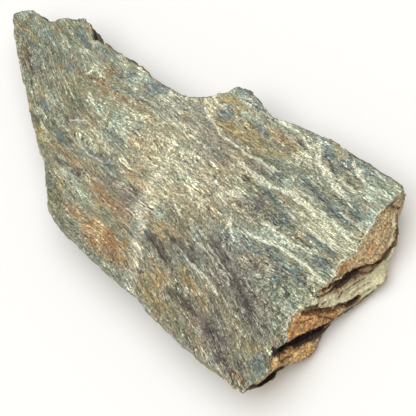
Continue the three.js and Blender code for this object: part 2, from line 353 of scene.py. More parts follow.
def refineEnd(mesh):
    finer = bmesh.new()
    finer.from_mesh(mesh)
    down, up = endShape["finerTilt"]
    split = set()
    for face in finer.faces:
        x, _, z = face.calc_center_median() / mm
        atEnd = x > endShape["finerFrom"] and z > endShape["finerAbove"]
        tilt = face.normal.z
        if atEnd and tilt > down and (tilt < up or x > endShape["finerTop"]):
            split.update(face.edges)
    bmesh.ops.subdivide_edges(finer, edges=list(split), cuts=1, use_grid_fill=True)
    finer.to_mesh(mesh)
    finer.free()


def shapeEnd(mesh):
    points, normals = surfaceOf(mesh)
    total = np.full(len(points), endShape["hold"])
    move = np.zeros(points.shape)
    for place, pull in endPulls:
        gap = (points - np.array(place)) / endShape["pullReach"]
        share = np.exp(-np.sum(gap * gap * np.array(endShape["pullStretch"]), axis=1))
        total += share
        move += share[:, None] * np.array(pull)
    share = smoothStep(*endShape["pullAlong"], points[:, 0])
    share *= smoothStep(*endShape["pullUp"], points[:, 2])
    points += share[:, None] * move / total[:, None]
    # beyond the rim the stone falls away at once
    over = beyondRim(points)
    brow = endShape["brow"] - endShape["fall"] * over
    drop = np.clip(points[:, 2] - brow, 0, endShape["mostFall"])
    drop = drop * smoothStep(*endShape["fallAcross"], over)
    points[:, 2] -= drop * smoothStep(*endShape["fallTilt"], normals[:, 2])
    atEnd = np.nonzero(points[:, 0] > endShape["crackFrom"])[0]
    for halfWidth, depth, *path in endCracks:
        gap = lineDistance(points[atEnd], path) / (halfWidth + endShape["crackFade"])
        points[atEnd] -= normals[atEnd] * (depth * np.exp(-gap ** 2))[:, None]
    for place, move, reach in endChips:
        gap = np.linalg.norm(points[atEnd] - place, axis=1)
        points[atEnd] += np.exp(-(gap / reach) ** 2)[:, None] * move
    mesh.vertices.foreach_set("co", (points * mm).ravel())
    mesh.update()


def remeshedSlab():
    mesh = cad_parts["flagstone"].data.copy()
    solid = bmesh.new()
    solid.from_mesh(mesh)
    bmesh.ops.remove_doubles(solid, verts=solid.verts, dist=slab["weld"] * mm)
    solid.to_mesh(mesh)
    solid.free()
    piece = bpy.data.objects.new("schistSlab", mesh)
    bpy.context.scene.collection.objects.link(piece)
    remesh = piece.modifiers.new("voxels", "REMESH")
    remesh.mode = "VOXEL"
    remesh.voxel_size = slab["voxel"] * mm
    piece.data = evaluated(piece)
    piece.modifiers.clear()
    refineEnd(piece.data)
    shapeEnd(piece.data)
    points, normals = surfaceOf(piece.data)
    face, foot = onFace(points, normals), onFoot(points, normals)
    inside = face * smoothStep(*slab["crispRim"], rimDistance(points, face))
    resting = foot > slab["flat"]
    weigh(piece, "face", inside)
    weigh(piece, "wall", (1 - inside) * (1 - foot))
    weigh(piece, "foot", resting * 1.0)
    for group, passes in (("face", slab["faceSmoothing"]), ("wall", slab["edgeSmoothing"])):
        smooth = piece.modifiers.new(group, "SMOOTH")
        smooth.vertex_group = group
        smooth.iterations = passes
        smooth.factor = slab["smoothing"]
    plain = piece.modifiers.new("foot", "DECIMATE")
    plain.vertex_group = "foot"
    plain.ratio = 1 - slab["footThinned"] * float(resting.mean())
    piece.data = evaluated(piece)
    piece.modifiers.clear()
    piece.vertex_groups.clear()
    return piece


piece = remeshedSlab()
print("slab remeshed:", sum(len(f.vertices) - 2 for f in piece.data.polygons), "triangles")

# how the foliation runs over the upper face, in mm and mm for mm
foliation = {
    "slope": 0.04,  # fall of the grain towards the broken end
    "lowerFan": 0.32,  # more fall in the lower half beyond fanStart
    "lowerHalf": (-30, 10),
    "fanStart": 90.0,
    "tailRise": 0.15,  # more rise towards the tip, and
    "tailFan": 0.15,  # this much more again along its lower margin
    "tailMargin": (-20, 60),
    "tailStart": -100.0,
    "bend": 25.0,  # run over which a fan sets in
    "wander": ((90.0, 2.4), (34.0, 0.5)),  # length and depth of the waves in the grain
    "stretch": (0.5, 1),  # the waves are longer along the slab
    # lenses that the grain flows round: x, y, half length, half width, push
    "lenses": (
        (-76, -21, 42, 14, 7), (-150, 45, 34, 16, 6), (30, 20, 50, 18, 5),
        (165, 24, 60, 14, 4), (216, 95, 40, 16, -5), (60, 95, 46, 12, 4),
    ),
    "search": (-400.0, 400.0, 24),  # grain lines looked through, and halvings of the search
}


def waves(points, length, seed, count=7):
    random = np.random.default_rng(seed)
    total = np.zeros(len(points))
    for _ in range(count):
        angle, phase = random.uniform(0, 2 * math.pi, 2)
        pitch = length * random.uniform(0.6, 1.6)
        run = points[:, 0] * math.cos(angle) + points[:, 1] * math.sin(angle)
        total += np.sin(2 * math.pi * run / pitch + phase)
    return total / math.sqrt(count / 2)


def fanned(run):
    # 0 before the fan and the run beyond it, with a soft bend between
    bend = foliation["bend"]
    return bend * np.log1p(np.exp(np.clip(run / bend, -30, 30)))


def grainCoordinates(points):
    x, y = points[:, 0], points[:, 1]
    for order, (length, depth) in enumerate(foliation["wander"]):
        stretched = np.stack((x, y), axis=1) * foliation["stretch"]
        y = y + depth * waves(stretched, length, slab["seed"] + order)
    for cx, cy, halfLength, halfWidth, push in foliation["lenses"]:
        across = (y - cy) / halfWidth
        near = np.exp(-((x - cx) / halfLength) ** 2 - across ** 2)
        y = y - push * np.tanh(2 * across) * near
    beyond, before = fanned(x - foliation["fanStart"]), fanned(foliation["tailStart"] - x)
    low, high, halvings = foliation["search"]
    low, high = np.full(len(x), low), np.full(len(x), high)
    for _ in range(halvings):  # until each point's grain line is found
        start = (low + high) / 2
        fan = foliation["lowerFan"] * (1 - smoothStep(*foliation["lowerHalf"], start))
        margin = 1 - smoothStep(*foliation["tailMargin"], start)
        rise = foliation["tailRise"] + foliation["tailFan"] * margin
        reached = start - foliation["slope"] * x - fan * beyond + rise * before
        low = np.where(reached < y, start, low)
        high = np.where(reached < y, high, start)
    return np.stack((x, (low + high) / 2, points[:, 2]), axis=1)


# mineral patches on the upper face: centre, length and width in mm, turn in degrees, strength
patches = {
    "olive": (
        (-270, 45, 40, 12, -10, 0.7), (-215, 38, 80, 10, -4, 0.6), (-200, 60, 60, 14, 0, 0.6),
        (-130, 5, 60, 26, -10, 0.9), (-175, 8, 40, 20, 0, 0.5), (-240, 18, 60, 12, -20, 0.7),
        (-60, -95, 90, 24, -22, 0.8), (-110, -65, 60, 16, -28, 0.7), (-20, -108, 60, 14, -8, 0.8),
        (-130, -28, 60, 10, -20, 0.7), (120, 70, 60, 8, 0, 0.6), (165, 28, 26, 14, 0, 0.7),
        (120, -28, 30, 14, -15, 0.7), (90, -32, 40, 10, -15, 0.5), (70, -30, 40, 20, -20, 0.5),
        (-205, 0, 80, 16, -22, 0.6), (200, -64, 120, 40, -18, 0.5), (-190, 34, 70, 16, 0, 0.5),
    ),
    "ochre": (
        (38, 101, 30, 12, -8, 1.2), (50, 95, 10, 14, 0, 1.2), (72, 89, 24, 9, 10, 1.2),
        (60, 77, 70, 12, -2, 1.1), (100, 78, 40, 12, -2, 0.7), (85, 84, 50, 8, 0, 0.8),
        (122, 84, 40, 10, 0, 0.6), (72, -50, 30, 16, -20, 0.6), (112, -92, 26, 26, 0, 0.8),
        (140, -72, 44, 12, -8, 0.9), (130, -110, 60, 14, 0, 0.6), (172, -82, 20, 8, 0, 0.7),
        (222, -78, 20, 10, -25, 0.9), (245, -85, 16, 12, 0, 0.7), (255, 60, 14, 40, 0, 0.6),
        (-240, 36, 40, 8, -6, 0.7), (-105, 33, 20, 10, 0, 0.9), (-60, 38, 50, 6, 5, 0.6),
        (-135, -45, 44, 12, -22, 1.1), (-108, -47, 20, 8, -20, 0.9), (-70, -45, 60, 6, 4, 0.9),
        (-100, -22, 24, 14, 20, 0.5), (-70, -78, 30, 8, -30, 0.6), (-150, 18, 40, 6, -10, 0.6),
        (110, -104, 40, 16, -30, 0.6),
    ),
    "purple": (
        (145, 30, 18, 14, -40, 1.3), (145, 13, 14, 12, -30, 1.1), (132, 20, 16, 20, 0, 0.7),
        (115, 58, 30, 10, -10, 0.8), (40, 60, 60, 14, 0, 0.6), (66, 44, 70, 24, 0, 0.6),
        (185, -20, 60, 12, -16, 0.7), (210, -10, 40, 10, -10, 0.7), (15, -45, 34, 22, -20, 0.8),
        (30, -58, 22, 10, -20, 0.7), (-165, 10, 24, 12, 0, 0.7), (-205, 8, 50, 12, -14, 0.6),
        (-205, 22, 60, 6, 0, 0.6), (-175, -2, 50, 5, -16, 0.6), (-112, -12, 20, 16, -30, 0.9),
        (-12, -42, 30, 12, 0, 0.8), (195, -48, 130, 40, -18, 0.8), (205, -100, 90, 26, -12, 0.7),
    ),
    "darkBrown": (
        (150, -32, 60, 9, -22, 0.9), (165, -42, 70, 8, -22, 0.9), (200, -50, 70, 9, -20, 1),
        (220, -62, 50, 9, -20, 0.9), (120, -45, 26, 6, -25, 1), (113, -52, 56, 8, -6, 1.5),
        (89, -65, 62, 10, -14, 1.6), (150, -92, 56, 11, 1, 1.5), (200, -98, 44, 14, -16, 1.1),
        (230, -112, 40, 10, -5, 0.9), (175, -73, 14, 8, -20, 0.9), (190, -80, 20, 8, -30, 0.9),
        (245, -106, 20, 6, -10, 0.8), (243, -62, 14, 10, 0, 0.8), (120, 56, 24, 5, -8, 0.7),
        (-228, 14, 24, 9, -25, 1.2), (-212, 3, 26, 9, -15, 1.2), (-240, 28, 24, 8, 0, 0.8),
        (-190, 20, 30, 5, -18, 0.8), (-62, -56, 20, 8, 0, 1.5), (-82, -56, 22, 7, 6, 1),
        (-110, -38, 24, 7, -25, 1), (-98, -32, 16, 8, -10, 1.1), (-160, -22, 30, 6, -14, 1.1),
        (-155, -38, 24, 6, -10, 0.9), (-138, -12, 30, 5, -14, 0.8), (-120, -18, 26, 5, -18, 0.9),
        (-103, 54, 20, 12, -30, 0.8), (-45, 48, 50, 6, 6, 0.6),
    ),
    "blueGrey": (
        (38, 86, 18, 16, -35, 1.3), (40, 117, 26, 8, 0, 0.9), (65, 112, 30, 10, -8, 0.8),
        (85, 94, 44, 9, -6, 0.9), (170, 111, 30, 12, -22, 1.2), (192, 113, 14, 16, -30, 1.2),
        (186, 103, 26, 8, -22, 0.9), (216, 120, 34, 10, 0, 1), (138, 104, 26, 6, -25, 0.8),
        (172, 76, 30, 10, -8, 1.1), (195, 71, 36, 10, -6, 1.4), (222, 66, 36, 11, -8, 1.3),
        (238, 76, 24, 16, 0, 0.8), (145, 62, 26, 10, -10, 1.1), (155, 42, 44, 9, -10, 1),
        (176, 34, 24, 12, -15, 1), (172, 25, 16, 10, 0, 0.7), (232, 32, 50, 7, -2, 0.9),
        (243, 19, 34, 13, 0, 1.2), (140, -14, 34, 10, 4, 0.8), (172, -10, 26, 8, 4, 1.1),
        (232, -5, 36, 9, -22, 1.2), (216, -20, 14, 8, -20, 0.8), (262, -93, 14, 18, -70, 1.1),
        (65, -85, 14, 12, -50, 0.6), (70, -112, 20, 8, 0, 0.9), (-228, 48, 24, 8, -18, 1.4),
        (-208, 46, 20, 6, 0, 0.7), (-190, 70, 26, 14, -20, 1.2), (-172, 64, 20, 8, -10, 1.2),
        (-148, 68, 24, 10, 0, 1), (-52, 68, 34, 14, 8, 1.4), (-52, 58, 20, 6, 0, 1),
        (-95, 64, 14, 8, -20, 1), (-95, 42, 16, 10, 0, 1.2), (-80, 48, 20, 6, 10, 0.8),
        (-10, 55, 24, 10, 0, 0.9), (-168, 32, 18, 9, -25, 1), (-186, 43, 14, 8, -10, 0.8),
        (-215, 78, 24, 6, 20, 0.7), (-34, -28, 16, 8, 10, 1.2), (-60, -30, 34, 8, 8, 0.8),
        (-110, -36, 14, 8, 0, 0.9), (-97, -38, 20, 8, -10, 1.1), (-160, -19, 34, 8, -12, 0.9),
        (-30, -45, 40, 5, -5, 0.6), (200, -2, 80, 12, -6, 0.6), (150, 116, 20, 8, -10, 0.7),
        (-130, 66, 60, 14, 0, 0.5),
    ),
    "rust": (
        (112, 98, 30, 12, -10, 0.55), (130, 94, 30, 12, -10, 0.5), (130, 87, 20, 8, 0, 0.7),
        (42, -92, 30, 16, 0, 1.4), (28, -87, 22, 16, 0, 1), (52, -84, 16, 12, 0, 0.9),
        (10, -86, 20, 14, 0, 0.7), (20, -104, 34, 14, 0, 0.9), (55, -101, 30, 10, 0, 0.9),
        (256, -115, 20, 8, -5, 1.3), (205, 27, 24, 7, 0, 0.7), (108, -2, 16, 10, -30, 0.6),
        (22, -62, 50, 20, -20, 0.6), (5, -60, 40, 14, -20, 0.7), (-263, 40, 16, 6, -5, 1),
        (-178, 26, 14, 5, -20, 1.3), (-118, 55, 14, 16, -30, 0.9), (-110, 37, 30, 12, 0, 0.8),
        (-145, 34, 30, 8, 10, 0.8), (-128, 36, 30, 8, 0, 0.8), (-30, 37, 20, 9, -10, 0.8),
        (-80, 38, 60, 7, 6, 0.8), (-50, 42, 40, 6, 4, 0.7), (-85, -5, 20, 7, 0, 0.8),
        (-232, 12, 30, 7, -25, 0.6), (-25, -55, 40, 9, -6, 1), (-5, -60, 24, 10, 0, 1),
        (-80, -50, 60, 6, -8, 0.7), (-25, -90, 30, 8, -6, 1.1), (0, -90, 16, 20, 0, 0.8),
        (-225, 62, 30, 8, -5, 0.6), (260, -60, 10, 30, 0, 0.4),
    ),
    "paleSage": (
        (165, 4, 40, 10, 20, 1), (195, 14, 50, 10, 3, 0.9), (230, 8, 50, 7, -4, 0.8),
        (150, -6, 20, 12, 0, 1.2), (155, 66, 16, 12, -30, 0.8), (110, -32, 16, 10, -20, 0.8),
        (88, -112, 24, 16, -55, 1.1), (25, 12, 16, 26, 0, 0.7), (55, 8, 40, 14, 0, 0.8),
        (252, 110, 16, 24, 0, 0.9), (238, 98, 24, 14, 0, 0.8), (250, 80, 16, 34, 0, 0.9),
        (246, -25, 16, 34, 20, 0.6), (184, -105, 12, 8, 0, 0.9), (55, 98, 30, 5, 0, 0.8),
        (225, 108, 60, 8, -6, 0.8), (-60, 14, 26, 22, -30, 1.4), (-50, 8, 24, 12, -20, 1.2),
        (-100, 14, 30, 8, -10, 1.1), (-282, 52, 20, 16, 20, 1), (-265, 60, 20, 8, 0, 0.8),
        (-35, -70, 50, 8, -10, 1), (-24, -78, 8, 12, 0, 1), (-160, 71, 24, 5, -20, 0.9),
        (-80, 66, 22, 26, -45, 0.9), (-68, 70, 12, 12, 0, 0.9), (-150, -10, 16, 6, -10, 0.8),
        (-165, -3, 20, 6, -15, 0.8), (-190, -15, 20, 6, -25, 0.6), (258, -30, 10, 60, 0, 0.5),
        (60, -40, 12, 20, 20, 0.7), (230, 120, 60, 8, 0, 0.6), (250, 6, 20, 20, 0, 0.6),
    ),
    "cream": (
        (105, 114, 30, 8, 14, 1), (150, 104, 12, 22, 10, 0.9), (152, 92, 26, 12, 0, 1.4),
        (145, 85, 16, 8, 0, 0.9), (180, 94, 36, 8, -22, 1), (200, 86, 30, 6, -16, 0.8),
        (165, 62, 24, 9, 10, 1.3), (190, 56, 40, 9, -12, 1.2), (225, 50, 50, 11, -3, 1.3),
        (252, 48, 20, 14, 0, 1.2), (190, 45, 80, 6, 0, 0.7), (235, 40, 50, 10, 0, 0.9),
        (128, 50, 50, 5, 8, 0.9), (90, 47, 12, 8, 0, 1.1), (114, 30, 16, 9, -20, 1.4),
        (65, 20, 18, 12, -30, 1.2), (85, 20, 16, 12, -20, 1.2), (20, 20, 14, 40, 10, 0.9),
        (22, 0, 12, 22, 0, 1), (105, 14, 18, 26, -10, 0.8), (95, 30, 20, 10, -30, 0.7),
        (130, 0, 16, 14, 40, 0.8), (44, -35, 14, 22, 30, 0.8), (260, 15, 8, 14, 0, 0.9),
        (16, 86, 16, 24, 45, 0.8), (25, 76, 20, 8, -20, 0.8), (228, -80, 16, 8, -15, 0.8),
        (-120, 74, 30, 8, -25, 1.3), (-82, 72, 24, 10, -40, 1.3), (-135, 47, 22, 12, -20, 1.6),
        (-143, 41, 12, 8, 20, 1.3), (-170, 56, 18, 9, 20, 1.3), (-110, 16, 20, 7, -25, 0.9),
        (-32, 63, 20, 12, 0, 1.2), (-8, 65, 22, 14, 0, 0.9), (-72, 32, 20, 8, 10, 1),
        (-45, 32, 40, 8, 6, 1), (-8, 12, 22, 14, 0, 1.2), (-78, 8, 10, 24, 20, 0.6),
        (-70, -18, 70, 10, 2, 0.8), (-20, -15, 34, 22, 0, 0.7), (-75, -67, 14, 9, -5, 1.5),
        (-150, -30, 30, 5, -15, 0.9), (-20, 75, 30, 8, 20, 0.8), (-5, 84, 16, 10, 20, 0.8),
        (-205, 52, 20, 5, -25, 0.7), (20, 22, 200, 70, -4, 0.45), (58, -113, 24, 6, 0, 0.8),
        (-130, -45, 40, 5, -25, 0.7),
    ),
}
# broad washes over the face: centre, length, width, turn, then lightness and warmth in percent
washes = (
    (62, 112, 110, 34, 0, 28, 0), (140, 112, 70, 30, 0, 18, -5), (190, 105, 80, 40, -10, 14, -4),
    (15, 85, 50, 50, 45, 26, 0), (-20, 65, 80, 40, 0, 12, -4), (-188, 87, 30, 20, 0, 18, 0),
    (-75, 62, 90, 24, 0, 10, -5), (-150, 45, 120, 60, 0, 5, -5), (-240, 45, 90, 50, -10, 0, -9),
    (45, -15, 80, 44, 0, 30, 8), (87, 12, 50, 30, 0, 14, 0), (75, 40, 50, 30, 0, 10, 4),
    (190, 12, 50, 24, 0, 12, 0), (210, -13, 50, 26, 0, 8, 2), (-175, 12, 80, 30, 0, 10, 0),
    (20, -88, 160, 40, -5, 0, 16), (-20, -65, 50, 24, 0, -6, 10), (15, -30, 50, 40, 0, 8, 8),
    (37, -63, 40, 24, 0, 16, 4), (110, -60, 160, 60, -15, -10, 0), (112, -38, 60, 24, 0, -14, 0),
    (100, -110, 140, 40, 0, -16, 3), (165, -95, 60, 40, 0, -14, 7), (237, -90, 60, 60, 0, -26, 0),
    (190, -48, 110, 38, -16, -17, 2), (-160, -38, 40, 20, 0, -24, 0),
    (-113, -38, 60, 24, 0, -12, 0), (-88, -75, 60, 40, -25, -18, -4), (55, 62, 60, 26, 0, 2, 7),
    (250, -5, 24, 60, 0, 6, 7), (-38, 38, 60, 24, 0, 8, 5), (95, -13, 50, 30, 0, 4, 12),
    (85, 113, 110, 26, 0, 9, -2), (165, 92, 70, 24, -10, 6, 0), (114, 64, 36, 22, 0, -10, 0),
    (-138, 38, 30, 24, 0, 8, 0), (86, 36, 40, 24, 0, 9, 2), (-8, 10, 60, 26, 10, 9, 5),
    (-165, -38, 34, 22, -10, -12, 0), (52, -48, 70, 34, -15, 7, 0), (152, -40, 60, 22, -10, -8, 0),
    (232, 90, 50, 24, 0, 0, -7), (160, -12, 36, 24, 0, 0, -7), (40, -90, 60, 30, 0, 2, 11),
    (150, -98, 60, 30, 0, 0, 6), (-238, 36, 40, 24, 0, 0, -5), (0, -62, 90, 50, -20, 2, 5),
    (56, -56, 60, 30, -15, 9, 3), (80, 28, 60, 24, 0, 10, 0), (10, 12, 70, 34, 0, 4, 5),
    (-268, 30, 30, 24, 0, 3, -7), (90, 100, 60, 20, 0, 6, 0), (236, -95, 50, 30, 0, 3, 7),
    (-30, 5, 60, 30, 0, 3, 4), (60, -92, 60, 24, 0, 3, 3), (-20, 35, 60, 24, 0, 5, 4),
    (78, -46, 50, 24, -10, 10, 2), (122, 66, 40, 24, 0, -9, 0), (202, -14, 40, 20, 0, 9, 0),
    (238, 62, 40, 24, 0, 6, 2), (46, 108, 50, 22, 0, 16, 0), (240, 102, 50, 28, 0, 14, 0),
    (-98, 25, 58, 26, 0, 13, 0), (240, -14, 40, 24, 0, 4, 9), (10, 20, 200, 60, 0, 6, 1),
    (85, 96, 110, 40, 0, 6, 0),
)
# pale veins that stand out singly: half width in mm, then x and y of each place they pass
veins = (
    (0.9, 14, 79, 52, 66, 92, 65, 140, 69), (0.7, 78, 54, 144, 53, 200, 55),
    (1.2, 156, -1, 192, 7, 232, 9, 258, 5), (1.2, 132, -1, 142, -8, 150, -14),
    (0.6, -118, -16, -96, -6, -70, -8, -44, -18, -36, -26),
    (0.5, -112, -26, -88, -32, -60, -33, -40, -30),
    (1.1, 254, 94, 254, 87, 256, 81, 257.4, 72, 258, 65, 259.4, 59, 260, 53),
    (0.9, 258, 35, 257, 30, 258.3, 24, 259.8, 21, 261.7, 16),
    (0.9, 254.8, -32, 255, -40, 258, -47, 260.8, -53, 265, -59),
    (0.8, 89, 51, 107, 53, 120, 51, 133, 51, 158, 56, 174, 59, 189, 58),
    (1, 156, 55, 173, 57, 187, 55, 206, 56, 225, 56, 243, 53, 260, 52),
    (0.9, 162, 17, 175, 18, 194, 18, 210, 18, 224, 20), (0.8, 172, 15, 189, 15, 205, 15),
    (0.9, 154, 71, 162, 65, 172, 64, 183, 64, 197, 61),
    (0.9, 156, 105, 166, 98, 169, 90, 179, 83, 186, 80),
    (0.8, 158, 109, 166, 101, 175, 94, 188, 89, 202, 85, 218, 82, 229, 79),
    (1, 195, 118, 207, 111, 216, 106, 227, 103, 238, 104, 250, 105, 257, 107),
    (0.8, 205, 115, 217, 109, 229, 106, 242, 106, 253, 108), (0.9, 197, 91, 208, 87, 221, 85),
    (0.8, 193, 98, 206, 94, 220, 94), (0.7, 220, 124, 230, 120, 238, 120),
    (0.8, 85, 64, 99, 64, 116, 65, 135, 65), (0.8, 222, 69, 236, 68, 252, 68),
    (0.9, 207, 59, 221, 58, 234, 56, 248, 58, 259, 61),
    (0.9, 175, 39, 192, 39, 210, 38, 228, 36, 244, 36), (0.8, 188, 47, 205, 46, 226, 44, 247, 41),
    (0.8, 105, 111, 115, 112, 126, 113, 137, 109, 148, 105),
    (0.8, 113, 121, 127, 122, 142, 121, 154, 116), (0.8, 21, 77, 32, 73, 45, 69, 55, 66, 65, 65),
    (0.8, 85, 22, 99, 21, 111, 21, 123, 24), (0.9, 98, 28, 111, 27, 124, 26, 130, 25),
    (0.8, 126, 9, 132, 0, 134, -9, 135, -16), (0.8, 60, -17, 72, -23, 85, -28),
    (0.8, 118, -38, 133, -38, 150, -43, 165, -46, 179, -51),
    (0.8, 130, -33, 147, -37, 163, -42, 178, -45),
    (1, 99, -53, 118, -56, 133, -59, 148, -59, 163, -62, 177, -66),
)
# dark seams of mica, in the same way
seams = (
    (0.8, 198, 113, 209, 107, 220, 104, 231, 103, 243, 105, 253, 106),
    (0.8, 156, 100, 165, 92, 174, 85, 183, 80), (0.8, 143, 105, 151, 100),
    (0.9, 156, 68, 165, 65, 176, 65), (1, 170, 73, 183, 73, 198, 69, 211, 67, 225, 63),
    (1, 205, 80, 218, 77, 230, 75, 245, 74), (0.9, 172, 105, 185, 100, 195, 96),
    (0.9, 183, 112, 194, 106, 207, 101, 215, 98), (0.9, 176, 29, 192, 27, 208, 25, 221, 25),
    (0.7, 106, 42, 120, 43, 135, 45), (0.8, 60, 109, 73, 110, 78, 114), (0.8, 90, 108, 101, 106),
    (0.9, 86, 90, 95, 93), (0.9, 126, 105, 136, 104, 145, 101), (0.8, 204, 99, 214, 96, 221, 97),
    (0.9, 0, -30, 12, -34, 24, -37), (0.8, 76, 4, 86, 5, 95, 7), (0.8, 109, -29, 118, -34),
    (0.9, 59, -61, 74, -65, 89, -68, 103, -72),
    (0.9, 80, -47, 94, -51, 108, -55, 123, -55, 139, -56), (0.8, 81, 26, 97, 26, 111, 27),
    (0.8, 187, 3, 198, 3), (0.8, 62, 33, 75, 33, 87, 33), (0.7, -69, 0, -61, -2),
    (0.7, -23, -9, -18, -4),
)
# the scuff that runs down the slab, in the same way
scuff = (8.0, 26, -5, 32, -39, 50, -57, 64, -77, 78, -95, 96, -117)

# finishes of the broken end: strands from one place to another, then radius and strength
endPatches = {
    "creamLeaf": (
        (275, 72, 19, 278, 51, 17, 5.5, 1.2), (278, 51, 17, 281, 30, 17, 7, 1.3),
        (277, 35, 19, 273, 14, 22, 6, 1.3), (274, 13, 22, 272, -3, 27, 5, 1.2),
        (269, 2, 28, 264, -12, 38, 5, 1.1), (263, -12, 41, 262, -19, 42, 4, 0.8),
        (279, 60, 16, 286, 38, 14, 5, 1.2), (285, 35, 12, 278, 18, 13, 4, 1.1),
        (263, 99, 34, 269, 88, 29, 1.6, 1.2), (270, 86, 29, 275, 74, 25, 1.7, 1.3),
        (269, 39, 23, 274, 46, 20, 1.6, 1.3), (262, 1, 35, 262, 8, 32, 1.6, 1.2),
        (272, -37, 16, 273, -32, 14, 1.6, 1.6), (268, -77, 42, 271, -82, 42, 1.4, 1.2),
    ),
    "ochreGrain": (
        (265, -46, 37, 267, -58, 38, 9, 1), (262, -36, 37, 274, -14, 20, 7, 1),
        (271, -27, 28, 268, -38, 30, 5, 1.1), (274, -10, 19, 278, -7, 14, 4, 0.8),
        (268, 61, 35, 269, 53, 33, 5, 0.45), (262, 24, 41, 261, 32, 39, 5, 0.35),
    ),
    "strawGrain": (
        (276, -51, 15, 275, -63, 23, 7, 1.2), (272, -66, 27, 273, -84, 35, 8, 1.2),
    ),
    # dark earth, and painted shade in the undercuts and on the bands under the overhanging leaves
    "earth": (
        (260, 106, 34, 257, 101, 42, 2, 0.4), (261, -23, 42, 266, -16, 37, 2.6, 0.8),
        (267, -73, 42, 267, -49, 22, 6, 1.3), (267, -49, 22, 274, -29, 13, 5, 1.3),
        (265, 14, 29, 266, 35, 25, 2.6, 1.3), (276, 5, 15, 278, 16, 13, 2.4, 1),
        (273, -15, 8, 269, -26, 1, 3, 1), (268, -21, 29, 276, -14, 16, 1.6, 0.5),
        (270, -92, 28, 271, -116, 41, 4, 1.3), (271, -80, 18, 270, -90, 27, 2.6, 1.2),
        (278, -9, 14, 281, 6, 9, 2.2, 0.9),
    ),
}

marks = {
    "patchEdge": 1.25,  # a patch or strand is gone at this many of its radii
    "washFade": 1.4,  # how fast a wash fades outwards
    "scuffEdge": (1.3, 2),  # half widths at which the scuff is gone, and its greatest strength
    "unmarked": -1.0,
    "farOff": 20.0,  # mm, greatest gap to a vein, seam or crack that is noted
    # how the outlines waver: along 0 or across 1 the slab, depth and length in mm, seed
    "wavers": ((0, 1.6, 16, 21), (0, 1.0, 7, 22), (1, 0.8, 14, 23), (1, 0.5, 6, 24)),
    "waverStretch": (0.7, 1),
    # green of the chlorite: in the tail, then what is added from x to x, and in the corner
    # by the broken end, where x + y is from and to
    "chlorite": (0.042, (-0.05, -140, 0), (0.03, 110, 170)),
}


def ellipseRadius(x, y, row):
    # 0 at the centre of the ellipse and 1 on its edge
    cx, cy, length, width, turn = row
    c, s = math.cos(math.radians(turn)), math.sin(math.radians(turn))
    along = ((x - cx) * c + (y - cy) * s) / (length / 2)
    across = ((y - cy) * c - (x - cx) * s) / (width / 2)
    return np.hypot(along, across)


def washTint(x, y):
    light, warmth = np.zeros(len(x)), np.zeros(len(x))
    for *place, lightness, warmer in washes:
        near = np.exp(-marks["washFade"] * ellipseRadius(x, y, place) ** 2)
        light += near * lightness / 100
        warmth += near * warmer / 100
    green, (middle, *along), (corner, *beside) = marks["chlorite"]
    green = green + middle * smoothStep(*along, x) + corner * smoothStep(*beside, x + y)
    red, blue = light + warmth / 2, light - warmth
    return np.exp(np.stack((red, light + green, blue), axis=1))


def strandField(count, gaps):
    # greatest of the strengths that fade outwards from each patch or strand
    field = np.full(count, marks["unmarked"])
    for radii, strength in gaps:
        field = np.maximum(field, strength * (marks["patchEdge"] - radii))
    return field


def strokeGap(points, strokes):
    # mm from the edge of the nearest stroke
    gap = np.full(len(points), marks["farOff"])
    for halfWidth, *path in strokes:
        gap = np.minimum(gap, lineDistance(points, path) - halfWidth)
    return gap


# share of rays that meet the stone again: how enclosed a point is, painted as shade in the cracks
def paintedShadeOf(mesh, points, normals, wanted):
    tree = BVHTree.FromPolygons(
        [v.co.copy() for v in mesh.vertices], [tuple(f.vertices) for f in mesh.polygons]
    )
    random = np.random.default_rng(slab["seed"])
    rays = random.normal(size=(slab["shelterRays"], 3))
    rays[:, 2] = np.abs(rays[:, 2])
    rays /= np.linalg.norm(rays, axis=1)[:, None]
    rays = [Vector(r) for r in rays]
    shelter = np.zeros(len(points))
    for i in np.nonzero(wanted)[0]:
        normal = Vector(normals[i])
        start = Vector(points[i] * mm) + normal * slab["shelterLift"] * mm
        for ray in rays:
            outward = ray - 2 * min(ray.dot(normal), 0) * normal
            if tree.ray_cast(start, outward, slab["shelterReach"] * mm)[0]:
                shelter[i] += 1
    return shelter / len(rays)


